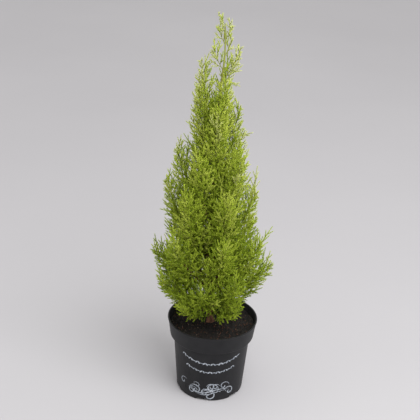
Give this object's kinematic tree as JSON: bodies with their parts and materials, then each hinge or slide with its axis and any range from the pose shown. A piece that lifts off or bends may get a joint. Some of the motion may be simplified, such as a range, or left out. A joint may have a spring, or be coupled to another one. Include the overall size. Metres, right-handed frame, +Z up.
{
  "type": "potted dwarf conifer",
  "caption": "Small feathery columnar conifer with lime-green needles, standing in a round dark plastic nursery pot of potting mix.",
  "frame": {"origin": "middle of the pot's flat underside", "axes": "+Z up along the plant, -Y towards the front with the pot's print"},
  "size_m": [0.1602, 0.1475, 0.515],
  "materials": {
    "pot": "moulded, satin to matt, with a pale print",
    "potting_mix": "moist crumbly mix",
    "bark": "thin reddish-brown bark",
    "foliage": "soft lime-green needles"
  },
  "bodies": {
    "root": {"bough_belly_1": "bark", "bough_belly_2": "bark", "bough_belly_3": "bark", "bough_belly_4": "bark", "bough_belly_5": "bark", "bough_belly_6": "bark", "bough_belly_7": "bark", "bough_low_1": "bark", "bough_low_2": "bark", "bough_low_3": "bark", "bough_low_4": "bark", "bough_low_5": "bark", "bough_low_6": "bark", "bough_low_7": "bark", "foliage_belly_1": "foliage", "foliage_belly_2": "foliage", "foliage_belly_3": "foliage", "foliage_belly_4": "foliage", "foliage_belly_5": "foliage", "foliage_belly_6": "foliage", "foliage_belly_7": "foliage", "foliage_breast_1": "foliage", "foliage_breast_2": "foliage", "foliage_breast_3": "foliage", "foliage_breast_4": "foliage", "foliage_breast_5": "foliage", "foliage_leader": "foliage", "foliage_low_1": "foliage", "foliage_low_2": "foliage", "foliage_low_3": "foliage", "foliage_low_4": "foliage", "foliage_low_5": "foliage", "foliage_low_6": "foliage", "foliage_low_7": "foliage", "foliage_neck_1": "foliage", "foliage_neck_2": "foliage", "foliage_neck_3": "foliage", "foliage_shoulder_1": "foliage", "foliage_shoulder_2": "foliage", "foliage_shoulder_3": "foliage", "foliage_shoulder_4": "foliage", "foliage_skirt_1": "foliage", "foliage_skirt_2": "foliage", "foliage_skirt_3": "foliage", "foliage_skirt_4": "foliage", "foliage_skirt_5": "foliage", "foliage_top_1": "foliage", "foliage_top_2": "foliage", "foliage_top_3": "foliage", "foliage_top_4": "foliage", "foliage_top_5": "foliage", "foliage_waist_1": "foliage", "foliage_waist_2": "foliage", "foliage_waist_3": "foliage", "foliage_waist_4": "foliage", "foliage_waist_5": "foliage", "foliage_waist_6": "foliage", "pot": "pot", "potting_mix": "potting_mix", "trunk": "bark"}
  },
  "joints": []
}
